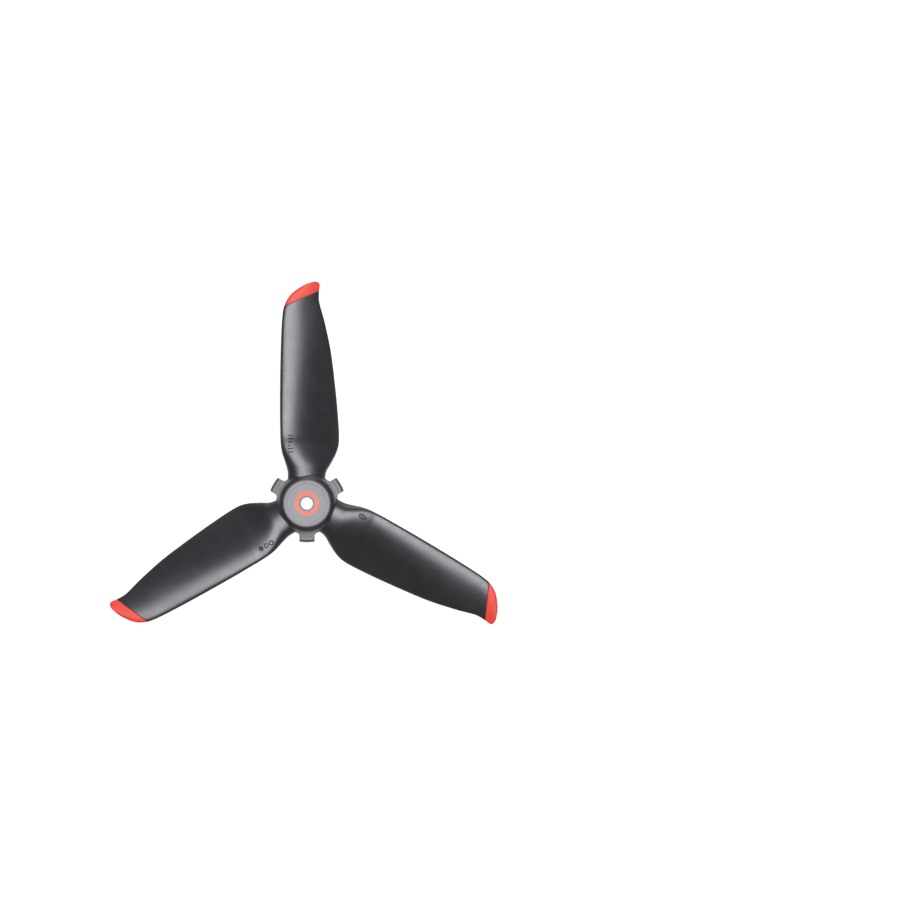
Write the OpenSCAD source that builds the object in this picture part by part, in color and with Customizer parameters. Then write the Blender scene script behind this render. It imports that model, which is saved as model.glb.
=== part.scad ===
// Three-blade quick-release drone propeller, counter-clockwise.
// Units are millimetres. +Z is up the rotor axis and the way the thrust points.
// The origin is on the rotor axis, in the bottom face of the lock plate.
// Blade 1 points along +Y, and the other two follow it counter-clockwise.

/* [Rotor] */
// Tip-to-tip diameter
diameter = 134.6; // [128:0.2:142]
// How far one turn would screw the rotor forward
pitch = 71; // [60:1:80]

/* [Hub] */
// Height from the seat face to the top of the cap
hub_h = 8.2; // [8:0.1:9]
// Outer radius of the hub's wall
hub_r = 8.6; // [8.4:0.1:8.8]
// Radius of the motor shaft's bore
bore_r = 1.9; // [1.6:0.1:2.2]
// Height at which the shaft boss starts
boss_z = 4.4; // [4:0.1:4.8]

/* [Cap] */
// Radius of the grey cap
cap_r = 7.05; // [6.8:0.05:7.2]
// Thickness of the cap
cap_t = 1.2; // [1:0.1:1.4]
// Inner radius of the coloured ring
ring_inner_r = 2.45; // [2.4:0.05:2.6]
// Outer radius of the coloured ring
ring_outer_r = 3.75; // [3.4:0.05:4]

/* [Lock plate] */
// Thickness of the lock plate, without the raised pads of its lugs
plate_t = 1.8; // [1.6:0.1:2]
// Radius of the plate between its lugs
plate_r = 9.4; // [9:0.1:9.6]
// Radius to the end of a lug
lug_r = 11.8; // [11.2:0.1:12.2]
// Width of a lug
lug_w = 4.6; // [4:0.1:5.2]
// Radius of the recess that the motor's locating boss enters
recess_r = 5.6; // [5.2:0.1:5.8]

/* [Blade] */
// Height of the blades' pitch axis above the seat face
axis_z = 4.6; // [4.5:0.1:4.8]
// Thickness of a blade where it leaves the hub
root_t = 5.2; // [4.6:0.1:5.3]
// Thickness of a blade where its neck ends
mid_t = 1.6; // [1.4:0.1:2.2]
// Thickness of a blade near its tip
tip_t = 0.9; // [0.8:0.05:1.2]
// Thickness of the rounded edges
edge_t = 0.36; // [0.3:0.02:0.5]
// Height of the blade's arch as a share of its chord, before the arch flattens towards the tip
camber = 0.065; // [0.045:0.001:0.07]

/* [Hidden] */
$fn = 96;

blades = 3;
step_angle = 360 / blades;
cap_z = hub_h - cap_t;
spigot_wall = 1;
spigot_r = recess_r + spigot_wall;
web_t = 1.8;
boss_r = 3.6;
rib_w = 0.9;
ribs = 6;
cap_hole_r = bore_r + 0.2;
rim_r = 6;
rim_h = 0.15;
ring_depth = 0.4;
lip_w = 0.1;
collar_top_z = hub_h - 0.1;
collar_angle = 50;
collar_bend_r = 0.8;
collar_foot_r = hub_r - collar_bend_r * (1 - cos(collar_angle));
collar_foot_z = collar_top_z - (collar_foot_r - cap_r - lip_w) / tan(collar_angle);
collar_bend_z = collar_foot_z - collar_bend_r * sin(collar_angle);
lug_t = plate_t + 0.2;
pad_r = 10.4;
pad_slope_w = 0.35;
lug_fillet = 1.2;
end_bevel = [0.8, 0.7];
side_bevel = [0.2, 0.3];

// The blade as its designer would lay it out at the nominal diameter: each row is one straight chord line,
// given by its leading and trailing ends as [across, along], with the blade pointing along +Y.
nominal_d = 134.9;
CHORDS = [
    [[-6.0, 4.0], [5.3, 4.0]],
    [[-5.8, 9.1], [5.75, 9.1]],
    [[-6.5, 12.2], [7.35, 12.2]],
    [[-7.55, 15.6], [9.0, 15.6]],
    [[-8.0, 19.5], [9.75, 19.5]],
    [[-8.15, 28.0], [9.3, 28.0]],
    [[-8.1, 38.0], [8.3, 38.0]],
    [[-7.95, 46.0], [7.15, 46.8]],
    [[-7.7, 53.0], [5.35, 55.2]],
    [[-7.4, 57.2], [3.75, 61.2]],
    [[-6.9, 59.9], [3.7, 64.6]],
    [[-5.5, 62.7], [3.85, 65.6]],
    [[-3.4, 64.7], [3.9, 66.3]],
    [[-0.6, 66.45], [3.7, 66.9]],
    [[2.0, 67.35], [3.1, 67.3]]
];
tip_row = 10;
last_row = len(CHORDS) - 1;
steps_per_row = 3;
chord_steps = 14;

// Stretches along the blade, as [start, end]: over the first three the round neck turns into the thin
// twisted wing, and over the others the wing grows thinner, flatter in pitch and flatter in arch
twist_span = [5.6, 22];
thin_span = [11, 19.2];
wing_span = [10.6, 20.8];
taper_span = [12, 72];
washout_span = [31, 66];
camber_span = [34, 66];

// Shares of the full twist that are left at the neck and at the tip
neck_twist = 0.13;
tip_twist = 0.73;

// The arch that is left at the tip
tip_camber = 0.03;

// Where along the chord the neck is highest
neck_crest = 0.45;

// The station at which the blade's slope is the helix of the pitch, and how strongly it is relieved inside it
pitch_y = 35.6;
root_relief = 39;

function smooth(t) = let (c = max(0, min(1, t))) c * c * (3 - 2 * c);

function along(span, y) = smooth((y - span[0]) / (span[1] - span[0]));

function between(a, b, t) = a + (b - a) * t;

// A Catmull-Rom curve through four points, between the middle two
function curve(a, b, c, d, t) =
    0.5 * (2 * b + (c - a) * t + (2 * a - 5 * b + 4 * c - d) * t * t + (3 * b - a - 3 * c + d) * t * t * t);

// One end of the chord line at a row number that may fall between two rows
function chord_end(end, row) =
    let (
        i = min(floor(row), last_row - 1),
        a = CHORDS[max(i - 1, 0)][end],
        d = CHORDS[min(i + 2, last_row)][end]
    )
    curve(a, CHORDS[i][end], CHORDS[i + 1][end], d, row - i) * diameter / nominal_d;

// Slope of the chord line: the helix of the pitch at pitch_y, relieved towards the root, nearly flat at
// the neck and washed out towards the tip
function twist(y) =
    between(neck_twist, 1, along(twist_span, y))
    * between(1, tip_twist, along(washout_span, y))
    * pitch / (2 * PI * pitch_y)
    * sqrt((pow(pitch_y, 2) + pow(root_relief, 2)) / (pow(y, 2) + pow(root_relief, 2)));

// Greatest thickness, which falls fast along the neck and slowly after it
function thickness(y) =
    between(between(root_t, mid_t, along(thin_span, y)), tip_t, along(taper_span, y));

// Half thickness along the chord, as a share of the greatest thickness: an uneven ellipse at the neck,
// whose upper side is highest near the leading edge and its lower side near the trailing edge, and an
// aerofoil beyond the neck
function neck_form(u, side) =
    let (
        crest = side > 0 ? neck_crest : 1 - neck_crest,
        reach = u < crest ? crest : 1 - crest
    )
    0.5 * sqrt(max(0, 1 - pow((u - crest) / reach, 2)));
function wing_form(u) =
    5 * (0.2969 * sqrt(u) - 0.126 * u - 0.3516 * u * u + 0.2843 * pow(u, 3) - 0.1036 * pow(u, 4));
function edge_form(u) = sqrt(max(0, 1 - pow(2 * u - 1, 24)));

// Height of the blade's upper (side 1) or lower (side -1) surface at a share u of the chord
function surface_z(p, u, width, side) =
    let (
        wing = along(wing_span, p.y),
        arch = wing * between(camber, tip_camber, along(camber_span, p.y)) * width * 4 * u * (1 - u),
        form = between(neck_form(u, side), wing_form(u), wing),
        half = thickness(p.y) * form + wing * edge_t / 2 * edge_form(u)
    )
    axis_z - p.x * twist(p.y) + arch + side * half;

// The closed outline of one blade section, from the leading edge over the top and back underneath
function section(row) =
    let (
        lead = chord_end(0, row),
        trail = chord_end(1, row),
        width = norm(trail - lead)
    )
    [
        for (k = [0 : 2 * chord_steps - 1])
            let (
                u = (1 - cos(180 * k / chord_steps)) / 2,
                p = between(lead, trail, u)
            )
            [p.x, p.y, surface_z(p, u, width, k <= chord_steps ? 1 : -1)]
    ];

// A closed skin over the sections from one row to another
module loft(first_row, end_row) {
    rings = (end_row - first_row) * steps_per_row;
    size = 2 * chord_steps;
    points = [
        for (i = [0 : rings]) each section(first_row + i / steps_per_row)
    ];
    sides = [
        for (i = [0 : rings - 1], k = [0 : size - 1])
            let (
                a = i * size + k,
                b = i * size + (k + 1) % size
            )
            each [[a, b, b + size], [a, b + size, a + size]]
    ];
    root_face = [for (k = [size - 1 : -1 : 0]) k];
    tip_face = [for (k = [0 : size - 1]) rings * size + k];
    polyhedron(points, concat([root_face], sides, [tip_face]), convexity = 6);
}

// Half of the hub's outer form: a straight wall, a rounded bend and a sloping collar round the cap
module hub_outline() {
    polygon([
        [0, plate_t],
        [hub_r, plate_t],
        [hub_r, collar_bend_z],
        [collar_foot_r, collar_foot_z],
        [cap_r + lip_w, collar_top_z],
        [0, collar_top_z]
    ]);
    translate([hub_r - collar_bend_r, collar_bend_z])
        circle(r = collar_bend_r);
}

// What the blade roots are cut to fit
module hub_envelope() {
    rotate_extrude() {
        hub_outline();
        translate([0, plate_t - 3])
            square([plate_r, 3]);
        translate([0, collar_top_z - 1])
            square([cap_r, 20]);
    }
}

module blade(number) {
    color([0.13, 0.13, 0.14])
        rotate(step_angle * (number - 1))
            difference() {
                loft(0, tip_row);
                hub_envelope();
            }
}

module tip(number) {
    color([0.93, 0.27, 0.15])
        rotate(step_angle * (number - 1))
            loft(tip_row, last_row);
}

module hub_body() {
    color([0.12, 0.12, 0.13])
        difference() {
            union() {
                hub_shell();
                hub_ribs();
            }
            translate([0, 0, boss_z - 1])
                cylinder(h = hub_h, r = bore_r);
        }
}

// Wall, collar, web and shaft boss, as one turned form
module hub_shell() {
    rotate_extrude()
        difference() {
            hub_outline();
            translate([0, cap_z])
                square([cap_r, hub_h]);
            translate([0, plate_t - 1])
                square([spigot_r, boss_z - plate_t + 1]);
            translate([boss_r, boss_z - 1])
                square([spigot_r - boss_r, cap_z - web_t - boss_z + 1]);
        }
}

module hub_ribs() {
    for (i = [0 : ribs - 1])
        rotate(i * 360 / ribs + 30)
            translate([boss_r - 0.2, -rib_w / 2, boss_z])
                cube([spigot_r - boss_r + 0.4, rib_w, cap_z - web_t - boss_z + 0.2]);
}

module hub_cap() {
    color([0.62, 0.62, 0.65])
        rotate_extrude()
            difference() {
                polygon([
                    [cap_hole_r, cap_z],
                    [cap_r, cap_z],
                    [cap_r, hub_h - 0.3],
                    [cap_r - 0.3, hub_h],
                    [rim_r + 0.1, hub_h],
                    [rim_r, hub_h - rim_h],
                    [cap_hole_r + 0.1, hub_h - rim_h],
                    [cap_hole_r, hub_h - rim_h - 0.1]
                ]);
                translate([ring_inner_r, hub_h - rim_h - ring_depth])
                    square([ring_outer_r - ring_inner_r, 1]);
            }
}

module marker_ring() {
    color([0.95, 0.5, 0.38])
        rotate_extrude()
            translate([ring_inner_r, hub_h - rim_h - ring_depth])
                square([ring_outer_r - ring_inner_r, ring_depth]);
}

module lock_plate() {
    color([0.55, 0.55, 0.58])
        difference() {
            union() {
                cylinder(h = boss_z, r = spigot_r);
                intersection() {
                    rotate_extrude()
                        plate_outline();
                    linear_extrude(lug_t)
                        plate_plan();
                }
            }
            translate([0, 0, -1])
                cylinder(h = boss_z + 2, r = recess_r);
            for (i = [0 : blades - 1], side = [0, 1])
                rotate(step_angle * (i + 0.5) + 90)
                    mirror([0, side, 0])
                        lug_side_bevel();
        }
}

// Half of the lock plate's outer form, out to the end of a lug, which has a raised pad and a bevelled end
module plate_outline() {
    polygon([
        [0, 0],
        [lug_r, 0],
        [lug_r, lug_t - end_bevel[1]],
        [lug_r - end_bevel[0], lug_t],
        [pad_r, lug_t],
        [pad_r - pad_slope_w, plate_t],
        [0, plate_t]
    ]);
}

// The lock plate seen from above: a disc with its bayonet lugs midway between the blades
module plate_plan() {
    circle(r = plate_r);
    for (i = [0 : blades - 1])
        rotate(step_angle * (i + 0.5) + 90) {
            translate([spigot_r, -lug_w / 2])
                square([lug_r, lug_w]);
            for (side = [0, 1])
                mirror([0, side, 0])
                    lug_root_fillet();
        }
}

// The hollow corner where a lug's side runs into the plate's rim
module lug_root_fillet() {
    centre_y = lug_w / 2 + lug_fillet;
    centre_r = plate_r + lug_fillet;
    centre_x = sqrt(centre_r * centre_r - centre_y * centre_y);
    difference() {
        polygon([
            [plate_r - 1, lug_w / 2 - 0.5],
            [centre_x, lug_w / 2 - 0.5],
            [centre_x, lug_w / 2],
            [centre_x * plate_r / centre_r, centre_y * plate_r / centre_r],
            [plate_r - 1, centre_y * plate_r / centre_r]
        ]);
        translate([centre_x, centre_y])
            circle(r = lug_fillet);
    }
}

// What is cut off one upper edge of a lug along +X
module lug_side_bevel() {
    translate([pad_r - pad_slope_w, 0, 0])
        rotate([90, 0, 90])
            linear_extrude(lug_r)
                translate([lug_w / 2, lug_t])
                    polygon([
                        [-2 * side_bevel[0], side_bevel[1]],
                        [side_bevel[0], -2 * side_bevel[1]],
                        [side_bevel[0], side_bevel[1]]
                    ]);
}

hub_body();
blade(1);  // blade_1
blade(2);  // blade_2
blade(3);  // blade_3
tip(1);  // tip_1
tip(2);  // tip_2
tip(3);  // tip_3
hub_cap();
marker_ring();
lock_plate();
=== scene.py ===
"""The looks of a three-blade drone propeller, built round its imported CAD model. Metres, +Z up."""
import math

import bpy
from mathutils import Matrix, Vector


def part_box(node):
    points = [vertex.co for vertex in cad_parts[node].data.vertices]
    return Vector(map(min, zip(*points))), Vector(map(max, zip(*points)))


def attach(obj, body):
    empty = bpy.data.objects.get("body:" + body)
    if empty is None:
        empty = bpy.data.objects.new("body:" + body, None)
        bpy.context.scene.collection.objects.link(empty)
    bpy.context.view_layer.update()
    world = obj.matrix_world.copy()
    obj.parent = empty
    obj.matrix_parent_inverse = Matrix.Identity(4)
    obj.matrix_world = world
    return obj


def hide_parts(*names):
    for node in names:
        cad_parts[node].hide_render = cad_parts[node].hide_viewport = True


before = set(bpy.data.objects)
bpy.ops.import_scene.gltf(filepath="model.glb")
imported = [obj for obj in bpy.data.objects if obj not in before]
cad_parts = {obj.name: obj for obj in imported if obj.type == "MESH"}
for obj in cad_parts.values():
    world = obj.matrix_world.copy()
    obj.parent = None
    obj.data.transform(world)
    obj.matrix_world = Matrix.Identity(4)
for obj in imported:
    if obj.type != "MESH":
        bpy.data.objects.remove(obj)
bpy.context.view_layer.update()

MM = 0.001
BODY = "root"
BLADES = 3
BLADE_TURN = 2 * math.pi / BLADES

# --- Blade design: the CAD model's own layout and formulas, in millimetres ---

DIAMETER = 134.6
NOMINAL_D = 134.9
PITCH = 71
PITCH_Y = 35.6
ROOT_RELIEF = 39
AXIS_Z = 4.6
ROOT_T = 5.2
MID_T = 1.6
TIP_T = 0.9
EDGE_T = 0.36
CAMBER = 0.065
TIP_CAMBER = 0.03
NECK_TWIST = 0.13
TIP_TWIST = 0.73
NECK_CREST = 0.45
TWIST_SPAN = (5.6, 22)
THIN_SPAN = (11, 19.2)
WING_SPAN = (10.6, 20.8)
TAPER_SPAN = (12, 72)
WASHOUT_SPAN = (31, 66)
CAMBER_SPAN = (34, 66)

# Each row is one straight chord line, from leading to trailing edge, with the blade pointing along +Y.
CHORDS = [
    [(-6.0, 4.0), (5.3, 4.0)],
    [(-5.8, 9.1), (5.75, 9.1)],
    [(-6.5, 12.2), (7.35, 12.2)],
    [(-7.55, 15.6), (9.0, 15.6)],
    [(-8.0, 19.5), (9.75, 19.5)],
    [(-8.15, 28.0), (9.3, 28.0)],
    [(-8.1, 38.0), (8.3, 38.0)],
    [(-7.95, 46.0), (7.15, 46.8)],
    [(-7.7, 53.0), (5.35, 55.2)],
    [(-7.4, 57.2), (3.75, 61.2)],
    [(-6.9, 59.9), (3.7, 64.6)],
    [(-5.5, 62.7), (3.85, 65.6)],
    [(-3.4, 64.7), (3.9, 66.3)],
    [(-0.6, 66.45), (3.7, 66.9)],
    [(2.0, 67.35), (3.1, 67.3)],
]
TIP_ROW = 10
LAST_ROW = len(CHORDS) - 1

# The rounding of the very end of the tip, and the fineness of the skins. A blade's rings lie closest at its
# root, and EVEN_SPACING is how much of their spacing is even.
END_ROUND = 0.45
BLADE_RINGS = 160
TIP_RINGS = 56
CHORD_STEPS = 40
EVEN_SPACING = 0.2

# The hollow corner where a blade runs into the hub, above and below, and how far the root goes into the wall
FILLET = 0.4
FILLET_BELOW = 0.08
ROOT_DEPTH = 0.5


def smooth(t):
    c = max(0.0, min(1.0, t))
    return c * c * (3 - 2 * c)


def along(span, y):
    return smooth((y - span[0]) / (span[1] - span[0]))


def between(a, b, t):
    return a + (b - a) * t


def chord_end(end, row):
    """One end of the chord line at a row number that may fall between two rows, on a Catmull-Rom curve."""
    i = min(int(row), LAST_ROW - 1)
    t = row - i
    a, b, c, d = (
        Vector(CHORDS[k][end]) for k in (max(i - 1, 0), i, i + 1, min(i + 2, LAST_ROW))
    )
    bend = (2 * a - 5 * b + 4 * c - d) * t**2 + (3 * b - a - 3 * c + d) * t**3
    return 0.5 * (2 * b + (c - a) * t + bend) * DIAMETER / NOMINAL_D


def twist(y):
    relief = math.sqrt((PITCH_Y**2 + ROOT_RELIEF**2) / (y**2 + ROOT_RELIEF**2))
    share = between(NECK_TWIST, 1, along(TWIST_SPAN, y)) * between(1, TIP_TWIST, along(WASHOUT_SPAN, y))
    return share * PITCH / (2 * math.pi * PITCH_Y) * relief


def thickness(y):
    return between(between(ROOT_T, MID_T, along(THIN_SPAN, y)), TIP_T, along(TAPER_SPAN, y))


def neck_form(u, side):
    crest = NECK_CREST if side > 0 else 1 - NECK_CREST
    reach = crest if u < crest else 1 - crest
    return 0.5 * math.sqrt(max(0, 1 - ((u - crest) / reach) ** 2))


def wing_form(u):
    return 5 * (0.2969 * math.sqrt(u) - 0.126 * u - 0.3516 * u**2 + 0.2843 * u**3 - 0.1036 * u**4)


def edge_form(u):
    return math.sqrt(max(0, 1 - (2 * u - 1) ** 24))


def end_form(y):
    """Thins the tip's last stretch to a round edge."""
    end_y = CHORDS[LAST_ROW][0][1] * DIAMETER / NOMINAL_D
    t = max(0, 1 - (end_y - y) / END_ROUND)
    return math.sqrt(max(0, 1 - t**2))


def surface_z(x, y, u, width, side):
    wing = along(WING_SPAN, y)
    arch = wing * between(CAMBER, TIP_CAMBER, along(CAMBER_SPAN, y)) * width * 4 * u * (1 - u)
    form = between(neck_form(u, side), wing_form(u), wing)
    half = (thickness(y) * form + wing * EDGE_T / 2 * edge_form(u)) * end_form(y)
    return AXIS_Z - x * twist(y) + arch + side * half


def skin_point(row, step):
    """A point of the skin. Steps run from the leading edge over the top to the trailing edge and back."""
    u = (1 - math.cos(math.pi * step / CHORD_STEPS)) / 2
    lead, trail = chord_end(0, row), chord_end(1, row)
    x, y = between(lead, trail, u)
    side = 1 if step <= CHORD_STEPS else -1
    return Vector((x, y, surface_z(x, y, u, (trail - lead).length, side)))


# --- The hub's outer form in millimetres: radii and height from the CAD nodes, and the CAD model's collar ---

HUB_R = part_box("hub_body")[1].x / MM
COLLAR_TOP_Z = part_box("hub_body")[1].z / MM
CAP_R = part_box("hub_cap")[1].x / MM
LIP_W = 0.1
COLLAR_ANGLE = math.radians(50)
COLLAR_BEND_R = 0.8
COLLAR_FOOT_R = HUB_R - COLLAR_BEND_R * (1 - math.cos(COLLAR_ANGLE))
COLLAR_FOOT_Z = COLLAR_TOP_Z - (COLLAR_FOOT_R - CAP_R - LIP_W) / math.tan(COLLAR_ANGLE)
COLLAR_BEND_Z = COLLAR_FOOT_Z - COLLAR_BEND_R * math.sin(COLLAR_ANGLE)


def hub_gap(p):
    """How far a point lies outside the hub's wall, bend and collar; negative inside."""
    out = math.hypot(p.x, p.y) - (HUB_R - COLLAR_BEND_R)
    up = p.z - COLLAR_BEND_Z
    angle = max(0.0, min(COLLAR_ANGLE, math.atan2(up, out)))
    return out * math.cos(angle) + up * math.sin(angle) - COLLAR_BEND_R


# --- Mesh building ---


def halved(is_low, low, high):
    """The place between low and high where is_low stops being true."""
    for _ in range(24):
        middle = (low + high) / 2
        if is_low(middle):
            low = middle
        else:
            high = middle
    return high


def smooth_min(a, b, reach):
    """The smaller value, rounded off where the two are within reach of each other."""
    return min(a, b) - max(reach - abs(a - b), 0) ** 2 / (4 * reach)


def filleted(p, normal):
    """Moves a point of the blade out along its normal onto the hollow corner between blade and hub."""
    reach = between(FILLET_BELOW, FILLET, (1 + normal.z) / 2)
    lift = halved(lambda d: smooth_min(d, hub_gap(p + normal * d), reach) < 0, 0, reach)
    return p + normal * lift


def grid_normals(rings):
    """The normal at each point of a grid of rings."""
    size = len(rings[0])
    last = len(rings) - 1
    normals = []
    for i, ring in enumerate(rings):
        before, after = rings[max(i - 1, 0)], rings[min(i + 1, last)]
        normals.append([
            (ring[(k + 1) % size] - ring[k - 1]).cross(after[k] - before[k]).normalized()
            for k in range(size)
        ])
    return normals


def rung_faces(start, flip):
    """Closes a ring of skin points with rungs from its upper to its lower side."""
    size = 2 * CHORD_STEPS
    faces = []
    for k in range(CHORD_STEPS):
        corners = [k, k + 1, size - k - 1, (size - k) % size]
        face = [start + c for c in dict.fromkeys(corners)]
        faces.append(face[::-1] if flip else face)
    return faces


def skin_mesh(name, rings):
    """A closed skin over rings of points in millimetres."""
    size = 2 * CHORD_STEPS
    points = [p * MM for ring in rings for p in ring]
    faces = []
    for i in range(len(rings) - 1):
        for k in range(size):
            a, b = i * size + k, i * size + (k + 1) % size
            faces.append([a, b, b + size, a + size])
    faces += rung_faces(0, True)
    faces += rung_faces((len(rings) - 1) * size, False)
    mesh = bpy.data.meshes.new(name)
    mesh.from_pydata(points, [], faces)
    mesh.validate()
    return mesh


def blade_mesh():
    """One black blade, whose root runs into the hub in a hollow corner."""
    starts = [
        halved(lambda row: hub_gap(skin_point(row, k)) < -ROOT_DEPTH, 0, 2)
        for k in range(2 * CHORD_STEPS)
    ]
    rings = []
    for i in range(BLADE_RINGS + 1):
        t = i / BLADE_RINGS
        share = between(t * t, t, EVEN_SPACING)
        rings.append([skin_point(between(row, TIP_ROW, share), k) for k, row in enumerate(starts)])
    normals = grid_normals(rings)
    filleted_rings = [
        [filleted(p, n) for p, n in zip(ring, ring_normals)]
        for ring, ring_normals in zip(rings, normals)
    ]
    return skin_mesh("blade", filleted_rings)


def tip_mesh():
    rings = [
        [skin_point(between(TIP_ROW, LAST_ROW, i / TIP_RINGS), k) for k in range(2 * CHORD_STEPS)]
        for i in range(TIP_RINGS + 1)
    ]
    return skin_mesh("tip", rings)


def add_piece(name, mesh, material, number=1, replaces=None):
    """Places a copy of a blade-1 mesh on any of the blades."""
    mesh = mesh.copy()
    mesh.transform(Matrix.Rotation(BLADE_TURN * (number - 1), 4, "Z"))
    mesh.materials.append(material)
    mesh.shade_smooth()
    piece = bpy.data.objects.new(name, mesh)
    bpy.context.scene.collection.objects.link(piece)
    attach(piece, BODY)
    if replaces:
        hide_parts(replaces)


# --- Marks moulded into the blades near the hub: plain signs of no maker, in millimetres ---

MARK_X = -4.95
LINE_W = 0.34

# The section of a line: shares of its half width, and heights above the blade's surface
STROKE_SECTION = ((-1, -0.1), (-1, 0), (-0.7, 0.05), (0.7, 0.05), (1, 0), (1, -0.1))


def blade_top(x, y):
    """Height of blade 1's upper surface over a point of the plan."""
    def short_of_point(row):
        lead, trail = chord_end(0, row), chord_end(1, row)
        return (trail - lead).cross(Vector((x, y)) - lead) > 0
    row = halved(short_of_point, 0, LAST_ROW)
    lead, trail = chord_end(0, row), chord_end(1, row)
    width = (trail - lead).length
    return surface_z(x, y, (Vector((x, y)) - lead).length / width, width, 1)


def stroke_mesh(name, strokes):
    """Raised lines on a blade. A stroke is a list of plan points, and it is closed if its ends meet."""
    points = []
    faces = []
    size = len(STROKE_SECTION)
    for stroke in strokes:
        closed = (Vector(stroke[0]) - Vector(stroke[-1])).length < 1e-6
        path = [Vector(p) for p in (stroke[:-1] if closed else stroke)]
        start = len(points)
        count = len(path)
        for i, p in enumerate(path):
            before = path[i - 1] if closed or i else p
            after = path[(i + 1) % count] if closed or i + 1 < count else p
            across = (after - before).orthogonal().normalized() * LINE_W / 2
            for share, lift in STROKE_SECTION:
                x, y = p + across * share
                points.append(Vector((x, y, blade_top(x, y) + lift)) * MM)
        for i in range(count if closed else count - 1):
            a, b = start + i * size, start + (i + 1) % count * size
            faces += [[a + k, b + k, b + (k + 1) % size, a + (k + 1) % size] for k in range(size)]
        if not closed:
            faces.append([start + k for k in range(size)])
            faces.append([start + (count - 1) * size + k for k in reversed(range(size))])
    mesh = bpy.data.meshes.new(name)
    mesh.from_pydata(points, [], faces)
    mesh.validate()
    return mesh


def ellipse(y, across, along_blade, steps):
    """Plan points of a closed ellipse in the row of marks, given by its two radii."""
    angles = [math.radians(360 * i / steps) for i in range(steps + 1)]
    return [(MARK_X + across * math.cos(a), y + along_blade * math.sin(a)) for a in angles]


def batch_bars():
    """Six short bars across the blade, of several widths, a millimetre apart."""
    start_x = MARK_X - 0.75
    start_y = 15.6
    widths = (1.5, 1.5, 0.8, 1.1, 1.5, 1.1)
    return [
        [(start_x, start_y + i), (start_x + width, start_y + i)]
        for i, width in enumerate(widths)
    ]


def target(y):
    """A small ring with a dot in it."""
    return [ellipse(y, 0.55, 0.55, 24), ellipse(y, 0.12, 0.12, 12)]


def mould_rings():
    """Two rings and a target in a row along the blade."""
    rings = [ellipse(y, 0.6, 0.6, 28) for y in (15.3, 17.0)]
    return rings + target(18.8)


def pip():
    """A long ring with a bar in it."""
    return [ellipse(16.6, 0.62, 1.15, 28), [(MARK_X, 16.0), (MARK_X, 17.2)]]


# --- Materials ---

# Sizes of the plastic's clouds, scuffs and grain in millimetres, and what the clouds and scuffs do to it
CLOUD_SIZE = 4.0
CLOUD_TONE = 0.07
CLOUD_GLOSS = 0.02
SCUFF_SIZE = 0.7
SCUFF_GLOSS = (-0.02, 0.03)
GRAIN_SIZE = 0.12
GRAIN_DEPTH = 0.002

# The middle of a noise's range, and the upright part of the normal between steep faces, which get painted
# shade, and level faces
NOISE_RANGE = (0.3, 0.7)
STEEP_SHADE_RANGE = (0.77, 0.85)


def noise(tree, size, detail):
    """Noise fixed to the piece, with features of a size in millimetres."""
    place = tree.nodes.new("ShaderNodeTexCoord")
    node = tree.nodes.new("ShaderNodeTexNoise")
    node.inputs["Scale"].default_value = 1 / (size * MM)
    node.inputs["Detail"].default_value = detail
    tree.links.new(place.outputs["Object"], node.inputs["Vector"])
    return node.outputs["Fac"]


def ranged(tree, value, low, high, given=NOISE_RANGE):
    """Stretches a value from a given range to run from low to high."""
    node = tree.nodes.new("ShaderNodeMapRange")
    node.inputs["From Min"].default_value = given[0]
    node.inputs["From Max"].default_value = given[1]
    node.inputs["To Min"].default_value = low
    node.inputs["To Max"].default_value = high
    tree.links.new(value, node.inputs["Value"])
    return node.outputs["Result"]


def clouded(tree, clouds, colour):
    """A colour that is darker and lighter in clouds."""
    tone = tree.nodes.new("ShaderNodeMix")
    tone.data_type = "RGBA"
    tone.inputs["A"].default_value = (*[c * (1 - CLOUD_TONE) for c in colour], 1)
    tone.inputs["B"].default_value = (*[c * (1 + CLOUD_TONE) for c in colour], 1)
    tree.links.new(ranged(tree, clouds, 0, 1), tone.inputs["Factor"])
    return tone.outputs["Result"]


def upright(tree):
    """The upright part of a face's normal: 1 on a level face, whichever way up, and 0 on a wall."""
    geometry = tree.nodes.new("ShaderNodeNewGeometry")
    size = tree.nodes.new("ShaderNodeVectorMath")
    size.operation = "ABSOLUTE"
    parts = tree.nodes.new("ShaderNodeSeparateXYZ")
    tree.links.new(geometry.outputs["True Normal"], size.inputs[0])
    tree.links.new(size.outputs["Vector"], parts.inputs["Vector"])
    return parts.outputs["Z"]


def painted_steep_shade(tree, colour, steep_shade_share):
    """A colour of which steep faces keep only a share: painted shade, darker on steep faces than on level
    ones.
    """
    shade = tree.nodes.new("ShaderNodeVectorMath")
    shade.operation = "SCALE"
    tree.links.new(colour, shade.inputs["Vector"])
    tree.links.new(ranged(tree, upright(tree), steep_shade_share, 1, STEEP_SHADE_RANGE), shade.inputs["Scale"])
    return shade.outputs["Vector"]


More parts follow.
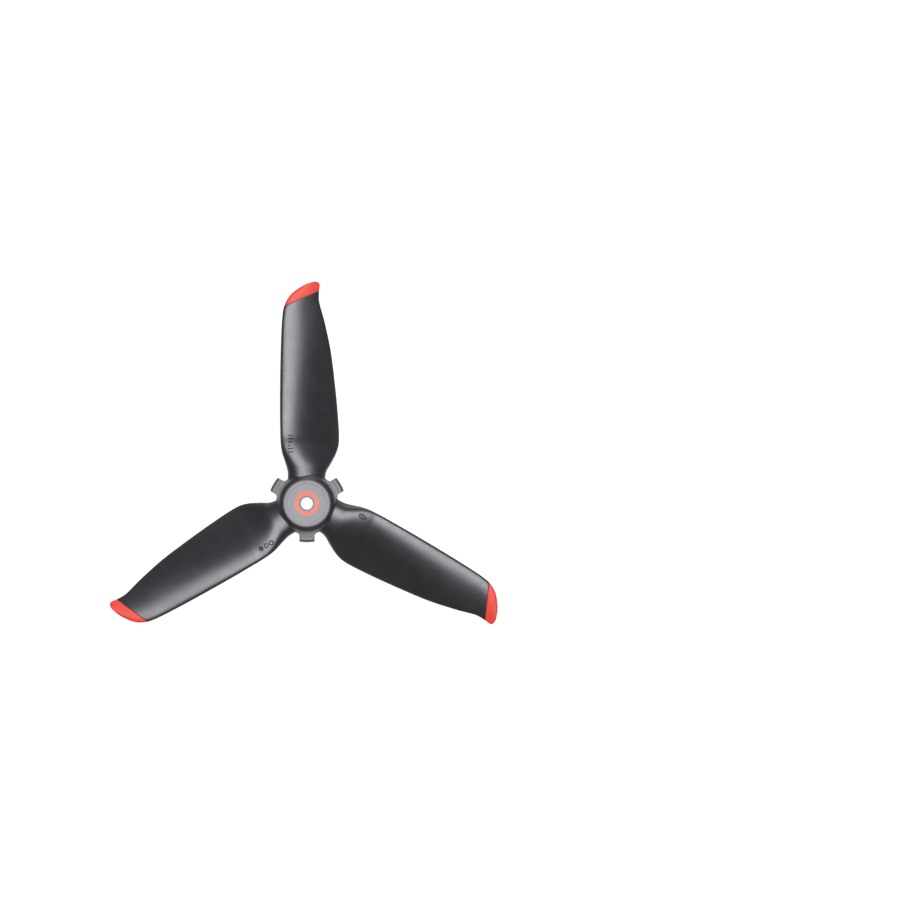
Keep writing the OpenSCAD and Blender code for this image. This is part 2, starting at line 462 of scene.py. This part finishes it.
def moulded(name, colour, roughness, tint=(1, 1, 1), steep_shade_share=1):
    """Injection-moulded plastic: spark-eroded grain, cloudy flow marks and faint scuffs. Steep faces can also
    get painted shade, keeping only a share of the colour.
    """
    material = bpy.data.materials.new(name)
    material.use_nodes = True
    tree = material.node_tree
    shader = tree.nodes["Principled BSDF"]
    shader.inputs["Specular Tint"].default_value = (*tint, 1)

    clouds = noise(tree, CLOUD_SIZE, 3)
    # Painted shade: steep faces keep only a share of the clouded colour
    tone = painted_steep_shade(tree, clouded(tree, clouds, colour), steep_shade_share)
    tree.links.new(tone, shader.inputs["Base Color"])

    gloss = tree.nodes.new("ShaderNodeMath")
    matt, glossy = roughness + CLOUD_GLOSS, roughness - CLOUD_GLOSS
    tree.links.new(ranged(tree, clouds, glossy, matt), gloss.inputs[0])
    tree.links.new(ranged(tree, noise(tree, SCUFF_SIZE, 4), *SCUFF_GLOSS), gloss.inputs[1])
    tree.links.new(gloss.outputs["Value"], shader.inputs["Roughness"])

    bump = tree.nodes.new("ShaderNodeBump")
    bump.inputs["Strength"].default_value = 1
    bump.inputs["Distance"].default_value = GRAIN_DEPTH * MM
    tree.links.new(noise(tree, GRAIN_SIZE, 2), bump.inputs["Height"])
    tree.links.new(bump.outputs["Normal"], shader.inputs["Normal"])
    return material


BLUISH = (0.95, 0.94, 1.0)
ORANGISH = (1.0, 0.75, 0.66)
blade_black = moulded("blade_black", (0.0135, 0.0132, 0.0155), 0.32, BLUISH)
mark_black = moulded("mark_black", (0.008, 0.008, 0.009), 0.85, BLUISH)
hub_black = moulded("hub_black", (0.010, 0.010, 0.011), 0.40, BLUISH)
tip_orange = moulded("tip_orange", (0.49, 0.029, 0.019), 0.5, ORANGISH)
ring_orange = moulded("ring_orange", (0.48, 0.14, 0.095), 0.65)
cap_grey = moulded("cap_grey", (0.175, 0.172, 0.19), 0.6)
# The lock plate is grey plastic, and its steep faces get painted shade: they keep 40 % of the grey
plate_grey = moulded("plate_grey", (0.138, 0.138, 0.143), 0.6, steep_shade_share=0.4)

# --- The propeller ---

blade = blade_mesh()
tip = tip_mesh()
for number in range(1, BLADES + 1):
    add_piece(f"blade_skin_{number}", blade, blade_black, number, f"blade_{number}")
    add_piece(f"tip_skin_{number}", tip, tip_orange, number, f"tip_{number}")

marks = {"batch_bars": batch_bars(), "mould_rings": mould_rings(), "moulded_pip": pip()}
for number, (name, strokes) in enumerate(marks.items(), 1):
    add_piece(name, stroke_mesh(name, strokes), mark_black, number)

for node, material in (
    ("hub_body", hub_black),
    ("hub_cap", cap_grey),
    ("marker_ring", ring_orange),
    ("lock_plate", plate_grey),
):
    for material_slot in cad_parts[node].material_slots:
        material_slot.material = material

# --- Studio: a pale floor with a low wall, a large soft light above and a low one at the side ---

FLOOR_R = 6.6
WALL_BEND_R = 1.5
WALL_TOP = 3.6
FLOOR_ALBEDO = 0.4
FLOOR_GLOW = 0.7
GLOW_R = 0.4 * FLOOR_R
FLOOR_STEPS = 96
KEY_AZIMUTH = math.radians(56)
KEY_RISE = math.radians(84.8)
KEY_DISTANCE = 6.6
KEY_SIZE = 4.5
KEY_POWER = 700
SIDE_AZIMUTH = math.radians(88)
SIDE_RISE = math.radians(19)
SIDE_DISTANCE = 5
SIDE_SIZE = 2.8
SIDE_POWER = 78
WORLD_LIGHT = 0.12

scene = bpy.context.scene
scene.view_settings.view_transform = "Standard"


def add_glow(tree, shader):
    """Makes the floor glow faintly, so that it stays white, and fades the glow out towards the wall."""
    place = tree.nodes.new("ShaderNodeTexCoord")
    distance = tree.nodes.new("ShaderNodeVectorMath")
    distance.operation = "LENGTH"
    tree.links.new(place.outputs["Object"], distance.inputs[0])
    glow = ranged(tree, distance.outputs["Value"], FLOOR_GLOW, 0, (GLOW_R, FLOOR_R))
    shader.inputs["Emission Color"].default_value = (1, 1, 1, 1)
    tree.links.new(glow, shader.inputs["Emission Strength"])


def floor_material():
    material = bpy.data.materials.new("floor")
    material.use_nodes = True
    shader = material.node_tree.nodes["Principled BSDF"]
    shader.inputs["Base Color"].default_value = (FLOOR_ALBEDO, FLOOR_ALBEDO, FLOOR_ALBEDO, 1)
    shader.inputs["Roughness"].default_value = 0.9
    shader.inputs["Specular IOR Level"].default_value = 0
    add_glow(material.node_tree, shader)
    return material


def add_floor():
    """A disc, a bend and a wall, turned round the rotor axis."""
    steps = FLOOR_STEPS
    bend = [
        (FLOOR_R + WALL_BEND_R * math.sin(a), WALL_BEND_R * (1 - math.cos(a)))
        for a in (math.radians(10 * i) for i in range(10))
    ]
    profile = [(0.05, 0), (0.5 * FLOOR_R, 0), *bend, (FLOOR_R + WALL_BEND_R, WALL_TOP)]
    points = [(0, 0, 0)]
    faces = [[0, 1 + k, 1 + (k + 1) % steps] for k in range(steps)]
    for r, z in profile:
        points += [
            (r * math.cos(2 * math.pi * k / steps), r * math.sin(2 * math.pi * k / steps), z)
            for k in range(steps)
        ]
    for i in range(len(profile) - 1):
        for k in range(steps):
            a, b = 1 + i * steps + k, 1 + i * steps + (k + 1) % steps
            faces.append([a, a + steps, b + steps, b])
    mesh = bpy.data.meshes.new("floor")
    mesh.from_pydata(points, [], faces)
    mesh.shade_smooth()
    mesh.materials.append(floor_material())
    floor = bpy.data.objects.new("floor", mesh)
    scene.collection.objects.link(floor)


def add_light(name, azimuth, rise, distance, size, power):
    """A round soft light that faces the propeller."""
    level = distance * math.cos(rise)
    place = (level * math.cos(azimuth), level * math.sin(azimuth), distance * math.sin(rise))
    lamp = bpy.data.lights.new(name, "AREA")
    lamp.shape = "DISK"
    lamp.size = size
    lamp.energy = power
    light = bpy.data.objects.new(name, lamp)
    light.visible_camera = False
    light.location = place
    light.rotation_euler = (-Vector(place)).to_track_quat("-Z", "Y").to_euler()
    scene.collection.objects.link(light)


def add_world():
    world = bpy.data.worlds.new("studio")
    world.use_nodes = True
    background = world.node_tree.nodes["Background"]
    background.inputs["Color"].default_value = (1, 1, 1, 1)
    background.inputs["Strength"].default_value = WORLD_LIGHT
    scene.world = world


add_floor()
add_light("key", KEY_AZIMUTH, KEY_RISE, KEY_DISTANCE, KEY_SIZE, KEY_POWER)
add_light("side", SIDE_AZIMUTH, SIDE_RISE, SIDE_DISTANCE, SIDE_SIZE, SIDE_POWER)
add_world()

# --- Camera: straight above, with the propeller left of the middle, as the left one of a pair ---

CAMERA_HEIGHT = 4.5
SENSOR = 36
RADIUS_IN_FRAME = 0.2467
HUB_IN_FRAME = (0.3412, 0.5593)

frame_width = DIAMETER / 2 * MM / RADIUS_IN_FRAME
camera_data = bpy.data.cameras.new("camera")
camera_data.sensor_width = SENSOR
camera_data.lens = SENSOR * CAMERA_HEIGHT / frame_width
camera = bpy.data.objects.new("camera", camera_data)
camera.location = (
    (0.5 - HUB_IN_FRAME[0]) * frame_width,
    (HUB_IN_FRAME[1] - 0.5) * frame_width,
    CAMERA_HEIGHT,
)
scene.collection.objects.link(camera)
scene.camera = camera
